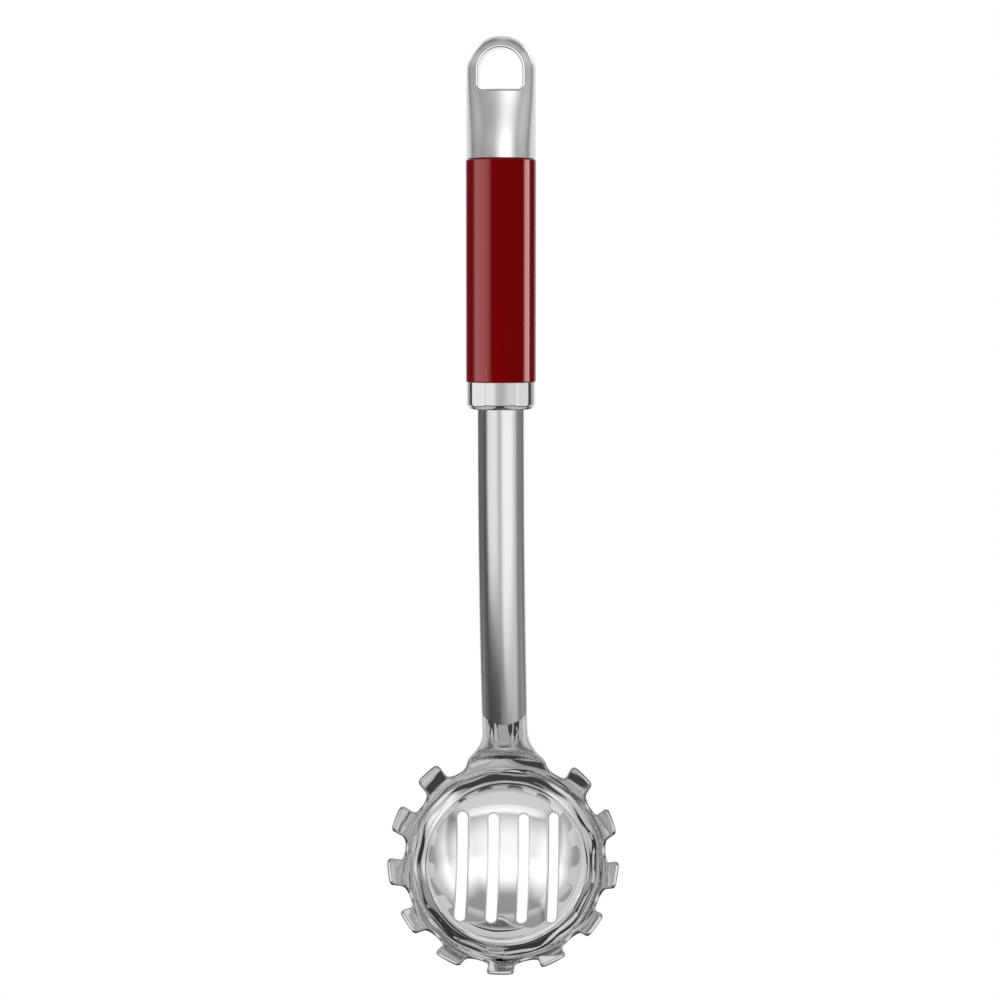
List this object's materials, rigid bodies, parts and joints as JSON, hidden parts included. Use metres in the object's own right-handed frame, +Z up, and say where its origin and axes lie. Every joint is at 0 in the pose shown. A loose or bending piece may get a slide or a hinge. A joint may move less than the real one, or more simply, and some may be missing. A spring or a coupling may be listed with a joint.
{
  "type": "pasta server",
  "caption": "Pasta server with a toothed, slotted steel dish on a bent tube shaft and a round coloured handle with a hanging hole.",
  "frame": {"origin": "centre of the hanging hole's arc, in the middle of the end cap's thickness", "axes": "+Z up along the handle away from the dish, -Y the way the dish opens, X across the dish"},
  "size_m": [0.0864, 0.0538, 0.3415],
  "materials": {
    "satin_steel": "fine satin with a polished hole bevel",
    "plain_steel": "turned, hidden in the handle",
    "natural_nylon": "moulded, hidden in the handle",
    "red_gloss": "deep red, high gloss",
    "polished_ferrule": "polished",
    "brushed_tube": "brushed along the tube, polished at its lower end",
    "mirror_steel": "mirror polished"
  },
  "bodies": {
    "root": {"end_cap": "satin_steel", "tie_rod": "plain_steel", "shaft_plug": "plain_steel", "grip_core": "natural_nylon", "grip": "red_gloss", "ferrule": "polished_ferrule", "shaft": "brushed_tube", "neck": "mirror_steel", "server_head": "mirror_steel"}
  },
  "joints": []
}
